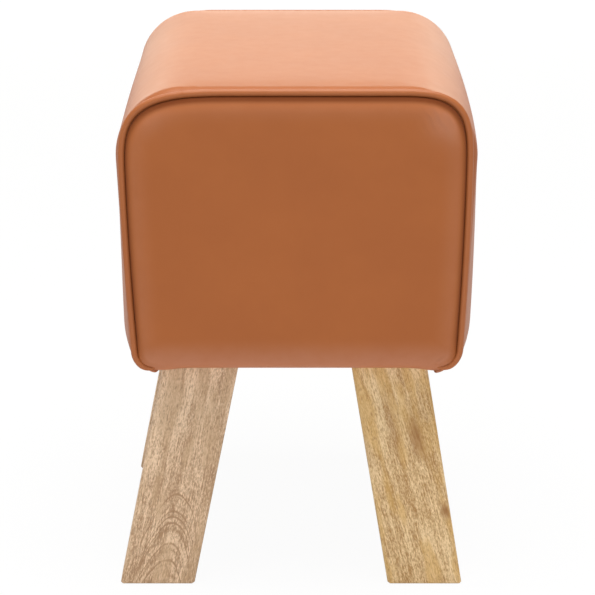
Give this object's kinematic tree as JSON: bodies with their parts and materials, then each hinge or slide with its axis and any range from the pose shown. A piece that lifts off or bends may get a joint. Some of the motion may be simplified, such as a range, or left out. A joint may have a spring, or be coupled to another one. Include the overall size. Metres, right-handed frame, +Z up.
{
  "type": "leather bench",
  "caption": "Short padded bench with a smooth tan leather cover, piped end seams and splayed solid wood slab legs, on a timber box.",
  "frame": {"origin": "on the floor, under the middle of the seat", "axes": "X across the bench with +X at the right of the pictured end, Y along its length with the pictured end at -Y, Z up"},
  "size_m": [0.3138, 0.407, 0.4532],
  "materials": {
    "leather": "smooth tan hide, softly waxed",
    "piping_leather": "smooth tan hide, softly waxed",
    "piping_cord": "cotton cord",
    "foam": "open-cell foam",
    "box_timber": "sawn, unfinished",
    "leg_wood": "sanded mango wood, clear matt",
    "zinc_steel": "zinc plated",
    "staple_steel": "galvanised wire",
    "dust_cloth": "black non-woven cloth"
  },
  "bodies": {
    "root": {"seat_cover": "leather", "front_panel": "leather", "rear_panel": "leather", "front_piping": "piping_leather", "rear_piping": "piping_leather", "front_piping_cord": "piping_cord", "rear_piping_cord": "piping_cord", "seat_foam": "foam", "left_side_foam": "foam", "right_side_foam": "foam", "front_foam": "foam", "rear_foam": "foam", "base_board": "box_timber", "top_board": "box_timber", "left_side_board": "box_timber", "right_side_board": "box_timber", "front_end_board": "box_timber", "rear_end_board": "box_timber", "centre_rib": "box_timber", "front_leg_batten": "box_timber", "rear_leg_batten": "box_timber", "front_left_leg": "leg_wood", "front_right_leg": "leg_wood", "rear_left_leg": "leg_wood", "rear_right_leg": "leg_wood", "leg_bolts": "zinc_steel", "tee_nuts": "zinc_steel", "frame_screws": "zinc_steel", "staples": "staple_steel", "dust_cover": "dust_cloth"}
  },
  "joints": []
}
